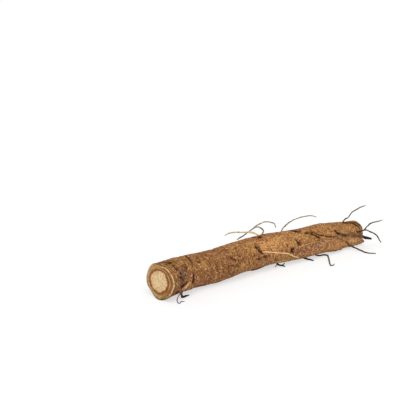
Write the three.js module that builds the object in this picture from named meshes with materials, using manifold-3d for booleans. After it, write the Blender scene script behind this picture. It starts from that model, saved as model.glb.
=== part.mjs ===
// A cut length of burdock taproot, lying on its side, as one solid.
// The root grew as one piece, so its side roots, knobs and thin rootlets are joined into the taproot.
// Millimetres, +Z up. The root is shaped with its cut face at distance 0 and its broken thin end at LENGTH
// along +X, and then moved so that the origin is under the middle of its box.
// Angles around the root are in degrees: 0 is the back (+Y), 90 the top, 180 the front, 270 the underside.
import * as THREE from "three";
import { mergeVertices } from "three/addons/utils/BufferGeometryUtils.js";
import Module from "manifold-3d";

const wasm = await Module();
wasm.setup();

// ---------------------------------------------------------------- driving dimensions

const LENGTH = 200;
const RADIUS = 13.4; // of the plain stretch behind the collar
const SIDES = 40; // facets around the root
const RING_STEP = 4.4; // between rings along the plain stretch
const PRESSED = 0.35; // how far the underside is flattened where the root lies on it

// Size along the root, as [distance, share of RADIUS].
const GIRTH = [[0, 1.067], [14, 1.04], [30, 1.008], [50, 1], [65, 0.998], [80, 0.98], [95, 0.967],
  [110, 0.972], [130, 0.952], [145, 0.93], [160, 0.93], [176, 0.875], [190, 0.81], [200, 0.75]];

// Sideways bow along the root, as [distance, offset towards the back].
const BOW = [[0, 1.5], [14, 5.5], [30, 7.4], [50, 7], [65, 7.5], [80, 8.5], [95, 9.1], [110, 8.7],
  [130, 7.5], [145, 6.8], [160, 6.4], [176, 5.4], [190, 4.5], [200, 3.8]];

// Gap under the root, as [distance, height]: it lies on the stretch behind the cut and on the one before
// the thin end, and between them on the knob under its middle.
const LIFT = [[0, 0.2], [12, 0], [30, 0.4], [50, 0], [65, 0.35], [80, 0.95], [95, 1.25], [110, 1.1],
  [130, 0.5], [145, 0.3], [160, 0.3], [176, 0.1], [190, 0], [200, 0.4]];
const FOOT = { at: 95, angle: 268, high: 2.1, long: 9, wide: 24 };

// Waves around the cross-section: how many, height as a share of the radius at the cut and further on,
// the angle of the first crest at the cut, and how far the crests turn in each millimetre.
const LOBES = [
  { count: 1, cut: 0.022, beyond: 0, crest: 17, turn: 0 },
  { count: 2, cut: 0.034, beyond: 0.02, crest: 12, turn: -0.4 },
  { count: 3, cut: 0.046, beyond: 0.035, crest: 33, turn: 0.35 },
  { count: 5, cut: 0.019, beyond: 0.012, crest: -21, turn: 0.9 },
  { count: 6, cut: 0.017, beyond: 0, crest: -18, turn: 0 },
];

// Knobs, ridges (long ones) and scars (negative heights) on the skin: distance, angle, height, and
// half the length and half the angle that each one spreads over.
const SWELLINGS = [
  { at: 21, angle: 208, high: 1.9, long: 4.5, wide: 14 }, // foot of the side root behind the collar
  { at: 15, angle: 182, high: -0.6, long: 6, wide: 14 }, // hollow in front of it
  { at: 93, angle: 146, high: -0.8, long: 3, wide: 12 }, // scar in mid-length
  { at: 99, angle: 190, high: 0.8, long: 9, wide: 18 },
  { at: 101, angle: 92, high: 0.9, long: 5, wide: 12 }, // foot of the tuft on top
  { at: 113, angle: 206, high: 0.8, long: 6, wide: 13 },
  { at: 125, angle: 175, high: 1.2, long: 4, wide: 10 }, // dark knob where the lower ridge begins
  { at: 148, angle: 205, high: 1.7, long: 18, wide: 21 }, // side root fused along the lower front
  { at: 171, angle: 221, high: 1.5, long: 6, wide: 18 }, // its blunt end
  { at: 152, angle: 164, high: -0.9, long: 16, wide: 8 }, // furrow above it
  { at: 178, angle: 150, high: 1.6, long: 7, wide: 12 }, // stub of the thick side root near the end
  { at: 170, angle: 133, high: -0.7, long: 3, wide: 10 }, // hollow before it
  { at: 186, angle: 182, high: -0.8, long: 8, wide: 12 }, // furrow below it
  { at: 196, angle: 98, high: 1.1, long: 3.5, wide: 20 }, // folded bark at the end
  { at: 58, angle: 20, high: 0.9, long: 9, wide: 20 }, // knobs on the back
  { at: 84, angle: 345, high: 1.2, long: 5, wide: 14 },
  { at: 134, angle: 40, high: 1.3, long: 8, wide: 16 },
  { at: 166, angle: 5, high: 1.0, long: 10, wide: 20 },
  { at: 40, angle: 350, high: -0.8, long: 3, wide: 12 },
];

// The crack that rings the root behind the collar.
const CREASE = { at: 25.6, deep: 0.75, long: 0.8, lean: 1.9 };

// The cut face slants towards the front and a little upwards: x in its middle, and slope of x on y and z.
const CUT = { x: -0.9, y: -0.2535, z: 0.1123, fade: 32 };

// How far the ragged rim of the broken end stands out at each angle, as [angle, millimetres].
const TORN_RIM = [[0, -3], [45, -3.4], [80, -2.2], [105, -1], [135, 0.4], [150, 0], [180, -0.7], [197, 0],
  [212, 2.4], [226, 3.3], [240, 2.2], [256, -0.6], [285, -2.6], [320, -1.2], [345, -2], [360, -3]];

// ---------------------------------------------------------------- the taproot's skin

const radians = THREE.MathUtils.degToRad;

// A smooth curve through stations of [distance, value].
function follow(stations, distance) {
  const last = stations.length - 1;
  const x = THREE.MathUtils.clamp(distance, stations[0][0], stations[last][0]);
  let i = 0;
  while (i < last - 1 && x > stations[i + 1][0]) i++;
  const slope = (a, b) => (stations[b][1] - stations[a][1]) / (stations[b][0] - stations[a][0]);
  const span = stations[i + 1][0] - stations[i][0];
  const start = slope(Math.max(i - 1, 0), i + 1) * span;
  const end = slope(i, Math.min(i + 2, last)) * span;
  const t = (x - stations[i][0]) / span;
  const rise = stations[i + 1][1] - stations[i][1];
  return stations[i][1] + t * (start + t * (3 * rise - 2 * start - end + t * (start + end - 2 * rise)));
}

// 1 at the middle of a bump and 0 well outside it.
const bump = (share) => Math.exp(-share * share);

// The shorter way round from one angle to another.
const turnBetween = (a, b) => ((((a - b + 180) % 360) + 360) % 360) - 180;

// How far a knob, ridge or scar moves the skin at a place.
function swell({ at, angle, high, long, wide }, distance, here) {
  return high * bump((distance - at) / long) * bump(turnBetween(here, angle) / wide);
}

// Distance from the root's axis to its skin, without the knob that it lies on.
function skinRadius(distance, angle) {
  const cutShare = Math.max(0, 1 - distance / CUT.fade) ** 2;
  let waves = 1;
  for (const lobe of LOBES) {
    const height = THREE.MathUtils.lerp(lobe.beyond, lobe.cut, cutShare);
    waves += height * Math.cos(radians(lobe.count * (angle - lobe.crest - lobe.turn * distance)));
  }
  let radius = RADIUS * follow(GIRTH, distance) * waves;
  for (const s of SWELLINGS) radius += swell(s, distance, angle);
  const crack = CREASE.at + CREASE.lean * Math.sin(radians(angle));
  return radius - CREASE.deep * bump((distance - crack) / CREASE.long);
}

// Height of the axis over the table, so that the skin at this distance just reaches its lift.
function axisHeight(distance) {
  let lowest = 0;
  for (let angle = 225; angle <= 315; angle += 3) {
    lowest = Math.min(lowest, skinRadius(distance, angle) * Math.sin(radians(angle)));
  }
  return follow(LIFT, distance) - lowest - PRESSED;
}

// A point of the root: distance along it, angle around it, and share of the way out to the skin.
function rootPoint(distance, angle, share) {
  const radius = (skinRadius(distance, angle) + swell(FOOT, distance, angle)) * share;
  const across = radius * Math.cos(radians(angle));
  const up = radius * Math.sin(radians(angle));
  const slant = Math.max(0, 1 - distance / CUT.fade) ** 2;
  const torn = Math.max(0, 1 - (LENGTH - distance) / 12) ** 2;
  return new THREE.Vector3(
    distance + slant * (CUT.x + CUT.y * across + CUT.z * up) + torn * share * follow(TORN_RIM, angle),
    follow(BOW, distance) + across,
    Math.max(0, axisHeight(distance) + up),
  );
}

// Share of the radius and distance for each ring of the skin, from the middle of the cut face,
// over its edge, along the root, and to the middle of the broken end.
function ringProfile() {
  const rings = [[0, 0], [0.3, 0], [0.6, 0], [0.63, 0.25], [0.9, 0.1], [0.975, 0]];
  for (const distance of [0.5, 3, 6.5, 10, 14, 18, 22, 24, 25.2, 26, 26.8, 28]) rings.push([1, distance]);
  const plainEnd = LENGTH - 7;
  const steps = Math.round((plainEnd - 32) / RING_STEP);
  for (let i = 0; i <= steps; i++) rings.push([1, 32 + ((plainEnd - 32) * i) / steps]);
  for (const distance of [LENGTH - 4.5, LENGTH - 2, LENGTH]) rings.push([1, distance]);
  rings.push([0.82, LENGTH - 1.2], [0.55, LENGTH + 0.4], [0.28, LENGTH - 0.6], [0, LENGTH]);
  return rings.map(([share, distance]) => new THREE.Vector2(share, distance));
}

// A surface of revolution gives the rings, and each of its points then moves to its place on the root.
function taprootGeometry() {
  const profile = ringProfile();
  const geometry = new THREE.LatheGeometry(profile, SIDES);
  const position = geometry.getAttribute("position");
  for (let i = 0; i < position.count; i++) {
    const side = Math.floor(i / profile.length) % SIDES;
    const { x: share, y: distance } = profile[i % profile.length];
    const p = rootPoint(distance, (side * 360) / SIDES, share);
    position.setXYZ(i, p.x, p.y, p.z);
  }
  return geometry;
}

// ---------------------------------------------------------------- rootlets

// Each rootlet runs from inside the taproot through hand-placed points, thick at its foot and thin at
// its tip. Those that reach the table lie on it.
const ROOTLETS = [
  // front, behind the cut face: a side root, the black stub that ends it and a thread
  {
    foot: 1.5, tip: 0.8,
    points: [[23, -2, 12.4], [20, -6.6, 12.4], [17.6, -8.6, 11.8], [15, -8.4, 10], [12.8, -8, 8.2],
      [12.2, -7.8, 6.8]],
  },
  {
    foot: 0.95, tip: 0.65,
    points: [[12.6, -7.9, 7.9], [12.2, -7.6, 6], [12.6, -7.2, 3.6], [13.6, -6.2, 1.3], [15.4, -5.8, 1],
      [18, -5.6, 1], [20.6, -5.4, 0.9]],
  },
  {
    foot: 0.45, tip: 0.35,
    points: [[4.6, -10, 17.4], [4.8, -12.7, 17], [6.4, -12.2, 15], [8.2, -11, 12.2], [9, -11.4, 9.6],
      [8.4, -11.5, 7.4], [6.9, -11.1, 5.6], [5.7, -11.2, 3.6], [5.5, -12, 1.6], [6.3, -13.2, 0.6],
      [9.2, -11.5, 0.5], [11.8, -12.2, 0.5]],
  },
  // front, low down in mid-length: a black twig of three
  {
    foot: 0.8, tip: 0.5,
    points: [[118, 6, 3.5], [115.2, 3, 1.3], [116, 0.4, 0.8], [117.8, -0.6, 0.8], [117.3, -3.4, 0.6]],
  },
  { foot: 0.5, tip: 0.35, points: [[116.6, 0, 0.8], [118.4, 0, 1.2], [119.9, 0.5, 2]] },
  {
    foot: 0.4, tip: 0.3,
    points: [[116.6, 4.4, 2], [114, 3.2, 0.8], [112.3, 2.4, 0.6], [110.2, 0.5, 0.5]],
  },
  // front, low down near the thin end
  {
    foot: 0.9, tip: 0.7,
    points: [[138.6, 6, 4], [140.9, 1.2, 1.4], [142, -1, 0.9], [143.6, -3.9, 0.8], [144.8, -6.8, 0.7]],
  },
  {
    foot: 0.7, tip: 0.5,
    points: [[150, 5, 4], [153.5, -0.4, 1.2], [156.4, -2, 0.8], [159.6, -2.5, 0.8], [161.2, -4.2, 0.8],
      [159.3, -8.5, 0.7], [155.4, -14.1, 0.7], [150.9, -20.9, 0.6], [150.2, -23.2, 0.6],
      [151.9, -23.2, 0.6], [154.3, -21.9, 0.6]],
  },
  {
    foot: 0.75, tip: 0.5,
    points: [[180, 0, 7], [184, -4.9, 4.8], [188.1, -8.8, 2.7], [191.4, -13.4, 1], [192.4, -19, 0.7],
      [197.7, -24.8, 0.6]],
  },
  // thin end: two thin rootlets, a fork, and the thick side root that lies on the skin and then stands off it
  {
    foot: 0.65, tip: 0.45,
    points: [[181, 5, 18], [185.3, 3.9, 23.4], [187, 3.4, 25.3], [189.4, 2.3, 26.5], [190.6, 2.1, 28.2],
      [192.6, 1.7, 30.4], [196, 0.3, 32.6], [200.4, -1.6, 35.1], [203.4, -3.3, 36]],
  },
  {
    foot: 0.8, tip: 0.45,
    points: [[186, -2, 14], [193.6, -6.8, 15.4], [198.2, -9, 17], [201.2, -9.7, 20.2], [205.7, -11.6, 23],
      [208.9, -13.6, 23.6], [212.3, -15.4, 24.7]],
  },
  {
    foot: 0.6, tip: 0.5,
    points: [[197.4, -8.6, 16.7], [199.6, -10.2, 16.4], [202.9, -13.3, 14.8], [205.9, -16.4, 12.2],
      [206.6, -18.2, 9.6], [207.6, -20, 6.7]],
  },
  {
    foot: 1.5, tip: 0.85,
    points: [[168, 2, 18], [173, -3.2, 18.7], [177.2, -4.8, 18], [180, -5.3, 17], [183.8, -5.4, 15.8],
      [187.3, -6.3, 14.8], [190.5, -9, 13.7], [193.5, -11.5, 12.7], [196.2, -13.8, 11.6], [198.9, -16, 11]],
  },
  // tuft on top
  {
    foot: 0.95, tip: 0.5,
    points: [[104, 8, 22.5], [101.5, 10.3, 26.6], [99, 13, 28.5], [95.5, 16, 29.6], [91.4, 19, 29.4],
      [86, 22.6, 29.6], [81.2, 25.6, 28.8], [78, 27, 27.2]],
  },
  {
    foot: 0.6, tip: 0.5,
    points: [[102, 9, 24], [103.4, 10, 28], [104.5, 10, 30.3], [104.2, 11, 31.9], [102.6, 12.7, 33.2],
      [100, 14.7, 33.4], [97, 16.2, 31.4], [93.4, 17.5, 28.9], [90, 18.5, 26.6], [85.4, 20.5, 24]],
  },
  {
    foot: 0.55, tip: 0.4,
    points: [[98.8, 15.4, 33], [101, 14.7, 34.6], [103.5, 13.5, 36], [107.2, 11.5, 37.5],
      [110.5, 9, 37.4], [113, 7, 36.2], [113.5, 5.2, 33]],
  },
  // back and underside
  {
    foot: 0.6, tip: 0.4,
    points: [[124, 10, 22], [125.7, 12.2, 26.4], [128.9, 11.5, 29.6], [134.7, 9.6, 33.6],
      [141.3, 7, 35.4], [148, 4, 36.4], [152.6, 0.6, 35.4]],
  },
  {
    foot: 0.6, tip: 0.4,
    points: [[58, 12, 14], [57, 24, 13.5], [53, 31, 10.5], [50, 36, 4], [46, 41, 0.6], [39, 43, 0.5]],
  },
  { foot: 1.7, tip: 1, points: [[84, 12, 11], [86, 22, 10], [89, 28, 8], [90, 31, 6.6]] },
  {
    foot: 0.6, tip: 0.4,
    points: [[165, 6, 12], [167, 17.4, 10.6], [172, 24, 6], [180, 28.5, 0.8], [188, 30, 0.6]],
  },
  { foot: 0.55, tip: 0.4, points: [[30, 12, 8], [30, 21, 3], [26, 27, 0.7], [20, 30, 0.6]] },
];

const ROOTLET_SIDES = 6;
const ROOTLET_STEP = 3.2; // length of one facet along a rootlet
const CURVE_TENSION = 0.4;

// A closed, tapering tube along a curve, made from a cylinder of unit radius and height.
function rootletGeometry({ foot, tip, points }) {
  const knots = points.map(([x, y, z]) => new THREE.Vector3(x, y, z));
  const curve = new THREE.CatmullRomCurve3(knots, false, "catmullrom", CURVE_TENSION);
  const steps = Math.max(4, Math.round(curve.getLength() / ROOTLET_STEP));
  const frames = curve.computeFrenetFrames(steps, false);
  const geometry = new THREE.CylinderGeometry(1, 1, 1, ROOTLET_SIDES, steps);
  const position = geometry.getAttribute("position");
  for (let i = 0; i < position.count; i++) {
    const along = position.getY(i) + 0.5;
    const frame = Math.round(along * steps);
    const radius = THREE.MathUtils.lerp(foot, tip, along);
    const p = curve.getPointAt(along);
    p.addScaledVector(frames.binormals[frame], position.getX(i) * radius);
    p.addScaledVector(frames.normals[frame], position.getZ(i) * radius);
    position.setXYZ(i, p.x, p.y, p.z);
  }
  return geometry;
}

// ---------------------------------------------------------------- solids

function solidOf(geometry) {
  geometry.deleteAttribute("normal");
  geometry.deleteAttribute("uv");
  const merged = mergeVertices(geometry, 1e-4);
  const triVerts = new Uint32Array(merged.index.array);
  const solid = new wasm.Manifold(
    new wasm.Mesh({ numProp: 3, vertProperties: merged.getAttribute("position").array, triVerts }),
  );
  if (solid.volume() > 0) return solid;
  for (let i = 0; i < triVerts.length; i += 3) {
    [triVerts[i + 1], triVerts[i + 2]] = [triVerts[i + 2], triVerts[i + 1]];
  }
  return new wasm.Manifold(
    new wasm.Mesh({ numProp: 3, vertProperties: merged.getAttribute("position").array, triVerts }),
  );
}

function geometryOf(solid) {
  const { vertProperties, triVerts } = solid.getMesh();
  const geometry = new THREE.BufferGeometry();
  geometry.setAttribute("position", new THREE.BufferAttribute(vertProperties, 3));
  geometry.setIndex(new THREE.BufferAttribute(triVerts, 1));
  geometry.computeVertexNormals();
  return geometry;
}

const grown = ROOTLETS.reduce(
  (root, rootlet) => root.add(solidOf(rootletGeometry(rootlet))),
  solidOf(taprootGeometry()),
);

const bark = new THREE.MeshStandardMaterial({ color: 0x99693f, roughness: 0.85, metalness: 0 });
const root = new THREE.Mesh(geometryOf(grown), bark);
root.name = "burdock_root";

const box = new THREE.Box3().setFromObject(root);
const middle = box.getCenter(new THREE.Vector3());
root.position.set(-middle.x, -middle.y, -box.min.z);

const part = new THREE.Group();
part.add(root);

export default part;
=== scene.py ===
import math

import bmesh
import bpy
import numpy as np
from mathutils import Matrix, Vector, noise


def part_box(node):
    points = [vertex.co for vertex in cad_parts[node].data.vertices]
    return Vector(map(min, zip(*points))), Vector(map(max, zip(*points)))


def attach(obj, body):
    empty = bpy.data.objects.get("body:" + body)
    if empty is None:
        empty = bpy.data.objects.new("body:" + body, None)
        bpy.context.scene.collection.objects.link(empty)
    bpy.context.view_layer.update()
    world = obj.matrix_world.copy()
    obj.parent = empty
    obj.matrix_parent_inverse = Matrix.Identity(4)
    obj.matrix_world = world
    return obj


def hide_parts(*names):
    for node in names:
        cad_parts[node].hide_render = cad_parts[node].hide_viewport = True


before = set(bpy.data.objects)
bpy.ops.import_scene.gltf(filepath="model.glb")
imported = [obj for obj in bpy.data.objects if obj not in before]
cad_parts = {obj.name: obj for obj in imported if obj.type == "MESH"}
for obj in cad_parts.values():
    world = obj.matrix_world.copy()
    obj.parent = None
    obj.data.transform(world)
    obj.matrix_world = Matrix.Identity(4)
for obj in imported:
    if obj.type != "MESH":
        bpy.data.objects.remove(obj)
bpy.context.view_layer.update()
noise.seed_set(4)  # so that the rootlets sway alike each time

# The root is shaped in millimetres, with the cut face at distance 0 and the broken thin end at LENGTH
# along +X. Angles around it are in degrees: 0 is the back (+Y), 90 the top, 180 the front, 270 the
# underside. settle() at the end of the shaping puts a point in its place in the frame, in metres.

MM = 0.001

# ---------------------------------------------------------------- sizes shared with the CAD source

LENGTH = 200
RADIUS = 13.4
PRESSED = 0.35

GIRTH = [(0, 1.067), (14, 1.04), (30, 1.008), (50, 1), (65, 0.998), (80, 0.98), (95, 0.967),
         (110, 0.972), (130, 0.952), (145, 0.93), (160, 0.93), (176, 0.875), (190, 0.81), (200, 0.75)]
BOW = [(0, 1.5), (14, 5.5), (30, 7.4), (50, 7), (65, 7.5), (80, 8.5), (95, 9.1), (110, 8.7),
       (130, 7.5), (145, 6.8), (160, 6.4), (176, 5.4), (190, 4.5), (200, 3.8)]
LIFT = [(0, 0.2), (12, 0), (30, 0.4), (50, 0), (65, 0.35), (80, 0.95), (95, 1.25), (110, 1.1),
        (130, 0.5), (145, 0.3), (160, 0.3), (176, 0.1), (190, 0), (200, 0.4)]

# Waves around the cross-section: count, share of the radius at the cut and beyond, first crest at the
# cut, turn per millimetre.
LOBES = [(1, 0.022, 0, 17, 0), (2, 0.034, 0.02, 12, -0.4), (3, 0.046, 0.035, 33, 0.35),
         (5, 0.019, 0.012, -21, 0.9), (6, 0.017, 0, -18, 0)]

# Knobs, ridges and hollows: distance, angle, height, half length and half angle.
FOOT = (95, 268, 2.1, 9, 24)  # the knob under its middle that the root lies on
SWELLINGS = [
    (21, 208, 1.9, 4.5, 14),
    (15, 182, -0.6, 6, 14),
    (93, 146, -0.8, 3, 12),
    (99, 190, 0.8, 9, 18),
    (101, 92, 0.9, 5, 12),
    (113, 206, 0.8, 6, 13),
    (125, 175, 1.2, 4, 10),
    (148, 205, 1.7, 18, 21),
    (171, 221, 1.5, 6, 18),
    (152, 164, -0.9, 16, 8),
    (178, 150, 1.6, 7, 12),
    (170, 133, -0.7, 3, 10),
    (186, 182, -0.8, 8, 12),
    (196, 98, 1.1, 3.5, 20),
    (58, 20, 0.9, 9, 20),
    (84, 345, 1.2, 5, 14),
    (134, 40, 1.3, 8, 16),
    (166, 5, 1.0, 10, 20),
    (40, 350, -0.8, 3, 12),
]
CREASE_AT, CREASE_DEEP, CREASE_LONG, CREASE_LEAN = 25.6, 0.75, 0.8, 1.9
CUT_X, CUT_SLOPE_Y, CUT_SLOPE_Z, CUT_FADE = -0.9, -0.2535, 0.1123, 32

# How far the ragged rim of the broken end stands out: angle and millimetres.
TORN_RIM = [(0, -3), (45, -3.4), (80, -2.2), (105, -1), (135, 0.4), (150, 0), (180, -0.7), (197, 0),
            (212, 2.4), (226, 3.3), (240, 2.2), (256, -0.6), (285, -2.6), (320, -1.2), (345, -2), (360, -3)]

# ---------------------------------------------------------------- fine relief of the skin

# Heights in millimetres of what covers the whole skin: broad lumps, furrows along the root, wrinkles around
# it and grit. Wrinkles and grit are stronger near both ends.
LUMP_HIGH, FURROW_HIGH, WRINKLE_HIGH, GRIT_HIGH = 0.28, 0.2, 0.2, 0.07
RIM_ROUND, RIM_LONG = 0.35, 0.9  # how far the rim of the cut is rounded off, and along how much of the root
TORN_DEEP, TORN_RAGGED = 2.6, 1.3  # hollow of the broken end, and how far its fibres vary

# Cracks: depth (negative for a raised fold), half width, how dark, where the darkness is painted shade in
# the crack, and the way each runs as (distance, angle).
CRACKS = [
    # collar: the crack around it, nicks behind the cut, pits of the rough middle, the side root's hollow
    (0.4, 0.4, 0.5, [(26, 0), (27.6, 50), (28.4, 85), (28.2, 105), (27.2, 126), (24.8, 140), (23.6, 155),
                     (24.2, 168), (23.6, 180), (22.6, 190), (21.4, 202), (21.4, 230), (23, 270), (25, 320),
                     (26, 360)]),
    (0.5, 0.6, 1.0, [(29.6, 62), (28.4, 78), (28, 92), (27.8, 114)]),
    (0.4, 0.5, 0.7, [(27.8, 114), (27.2, 131)]),
    (0.7, 0.9, 1.0, [(24.2, 160), (24.2, 170), (23.7, 180), (22.4, 192)]),
    (0.9, 1.5, 1.0, [(9, 81), (10, 94)]),
    (0.5, 0.8, 0.95, [(6, 60), (6.4, 71), (8.4, 78), (10.4, 84)]),
    (0.4, 0.6, 0.8, [(5, 80), (4.4, 92), (4.6, 100)]),
    (0.5, 0.7, 0.9, [(7.8, 102), (8.2, 118), (7.8, 128), (9, 136)]),
    (0.35, 0.5, 0.7, [(3, 108), (3.6, 122)]),
    (0.3, 0.5, 0.7, [(13.6, 86), (14.4, 100)]),
    (0.5, 0.7, 0.9, [(15.6, 124), (16.8, 131)]),
    (0.4, 0.6, 0.9, [(20, 118), (20.6, 127)]),
    (0.5, 0.7, 0.9, [(18.4, 132), (19.2, 139)]),
    (0.4, 0.6, 0.8, [(16.4, 140), (17.4, 147)]),
    (0.4, 0.6, 0.9, [(9.6, 126), (10, 133)]),
    (0.5, 0.7, 0.9, [(9.4, 144), (10.8, 151)]),
    (0.5, 0.8, 0.9, [(10, 154), (8.4, 162)]),
    (0.5, 0.8, 0.9, [(12.2, 163), (11.6, 171)]),
    (0.3, 0.5, 0.7, [(14, 152), (14.8, 160)]),
    (1.0, 1.2, 1.0, [(14.2, 187.5), (11.6, 192), (9.2, 197)]),
    (0.5, 0.9, 0.75, [(17.4, 184), (14.4, 188)]),
    (0.8, 1.1, 1.0, [(8, 199), (5.4, 210), (4.4, 222)]),
    (-0.5, 1.4, 0.0, [(24.6, 60), (25.6, 90), (25, 112), (23.8, 130), (21.8, 146), (21.2, 160), (21.2, 174),
                      (20.2, 188), (18.6, 203)]),
    (-0.3, 1.2, 0.0, [(15, 70), (16, 100), (14.6, 122)]),
    (-0.3, 0.9, 0.0, [(6, 90), (6.6, 112), (5.6, 134), (3.6, 150)]),
    # plain stretch
    (0.6, 0.6, 0.95, [(33.4, 121), (34, 134)]),
    (0.4, 0.5, 0.7, [(34, 104), (35, 112)]),
    (0.45, 0.5, 0.85, [(61.4, 140), (64.6, 151), (67.8, 160)]),
    (0.3, 0.5, 0.7, [(60.6, 166), (63.6, 172)]),
    (0.3, 0.5, 0.7, [(65.4, 168), (67.6, 178)]),
    (0.5, 0.7, 0.9, [(62.4, 193), (63.4, 198)]),
    (0.3, 0.4, 0.6, [(74, 150), (73.4, 170)]),
    (0.35, 0.6, 0.6, [(79, 158), (79.4, 190)]),
    (0.3, 0.5, 0.6, [(82.4, 140), (83, 160), (84, 196)]),
    (0.3, 0.5, 0.5, [(85.4, 148), (86, 168)]),
    (0.2, 0.5, 0.45, [(41, 120), (42, 150)]),
    (0.2, 0.5, 0.45, [(46.4, 140), (47, 172)]),
    (0.2, 0.5, 0.45, [(54.6, 118), (55.6, 142)]),
    (0.2, 0.5, 0.5, [(57, 158), (57.6, 186)]),
    (0.2, 0.5, 0.45, [(70, 126), (71, 152)]),
    # scar in mid-length: a jagged split, the fold before it, the dark foot of the tuft
    (0.7, 0.6, 0.9, [(91, 120), (90, 128), (90.4, 137), (92, 142), (92.2, 150), (93.8, 160), (94.4, 168)]),
    (1.0, 1.5, 1.0, [(90.2, 128), (90.4, 134), (91.2, 141)]),
    (1.0, 1.4, 1.0, [(91.6, 145), (92.2, 152), (93.6, 160)]),
    (0.4, 0.7, 0.7, [(92.4, 134), (94.2, 138)]),
    (0.5, 1.2, 0.75, [(94.4, 171), (96.8, 180)]),
    (0.7, 1.1, 1.0, [(90.4, 175), (88.8, 180)]),
    (-0.5, 1.3, 0.0, [(86.6, 116), (86.4, 132), (87.4, 148), (88.2, 164)]),
    (0.4, 0.5, 0.8, [(106.5, 186), (106.4, 194), (108.4, 202)]),
    (0.4, 0.6, 0.9, [(102.4, 113), (102.7, 119)]),
    (0.4, 0.5, 0.9, [(119, 152), (119.3, 156)]),
    (0.3, 0.5, 0.8, [(110, 162), (111, 166)]),
    (0.7, 1.1, 1.0, [(97.4, 90), (100.4, 98)]),
    (0.6, 0.9, 1.0, [(103, 82), (106, 91)]),
    (0.4, 0.6, 0.9, [(94.6, 84), (97, 88)]),
    # before and along the lower ridge
    (1.2, 1.0, 1.0, [(125.4, 165), (122.6, 170), (122, 175.5), (123, 182)]),
    (-0.5, 1.6, 0.0, [(126.2, 166), (129.6, 172)]),
    (0.4, 0.8, 0.65, [(122.8, 169), (122.2, 175), (123, 182), (125, 187)]),
    (0.6, 1.3, 1.0, [(129, 78), (133, 92), (139, 109)]),
    (0.6, 0.7, 1.0, [(130.2, 137), (130.2, 144), (131, 152), (132.4, 160)]),
    (0.8, 1.1, 1.0, [(130.4, 145), (131.2, 151), (131.8, 156)]),
    (0.4, 0.5, 0.8, [(133, 140), (133, 145)]),
    (0.4, 0.5, 0.9, [(130, 155), (129.6, 162)]),
    (0.3, 0.5, 0.8, [(133.6, 150), (134, 154)]),
    (1.0, 1.3, 1.0, [(141.6, 114), (144.4, 120.5)]),
    (0.6, 0.5, 0.95, [(144.4, 119), (149, 124), (154, 139), (160, 152), (166, 158.5), (172.2, 161)]),
    (0.6, 0.7, 1.0, [(145, 121), (148.4, 133), (151, 144), (154.2, 156)]),
    # thin end: hook before the side root, the shadow under that, the lower flap, folds of the bark
    (1.0, 0.9, 1.0, [(171.6, 127), (171, 135), (171.6, 144), (173, 150), (175.6, 153)]),
    (0.7, 1.4, 1.0, [(171.8, 145), (173.8, 152)]),
    (0.5, 1.0, 0.6, [(174, 154), (178, 161), (183, 166)]),
    (0.4, 0.8, 0.9, [(178.6, 155), (181.6, 158)]),
    (0.5, 0.7, 0.9, [(189, 167), (194, 176), (198.6, 187)]),
    (0.3, 0.6, 0.35, [(168, 163), (174, 172), (180, 187)]),
    (0.6, 0.7, 0.8, [(180, 187), (183, 200), (185, 213)]),
    (-0.9, 1.8, 0.0, [(175, 216), (178, 230)]),
    (0.0, 0.7, 0.8, [(160, 219), (166, 223), (171, 217), (177, 230), (182, 238)]),
    (0.6, 1.3, 1.0, [(184, 95), (188, 98), (190.8, 101), (194, 108)]),
    (0.6, 0.8, 1.0, [(192.6, 104), (194.6, 114), (196, 127), (197.4, 140)]),
    (0.5, 0.8, 1.0, [(193.6, 101), (197, 114), (199.4, 130)]),
    (-0.4, 0.8, 0.0, [(193, 103), (196, 116), (197.6, 130)]),
    # back and underside
    (0.5, 0.6, 0.8, [(70, 300), (72, 340)]),
    (0.5, 0.6, 0.8, [(46, 20), (47.5, 52)]),
    (0.5, 0.6, 0.8, [(118, 30), (121, 62)]),
    (0.5, 0.6, 0.7, [(150, 330), (152, 358)]),
    (0.5, 0.6, 0.7, [(104, 250), (106, 282)]),
    (0.6, 0.7, 0.9, [(83, 330), (80.6, 345), (83, 360)]),
    (0.5, 0.6, 0.8, [(163, 352), (160, 368), (164, 384)]),
    (0.4, 0.6, 0.7, [(12, 20), (13.4, 48)]),
    (0.4, 0.6, 0.7, [(180, 10), (181, 44)]),
]
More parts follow.
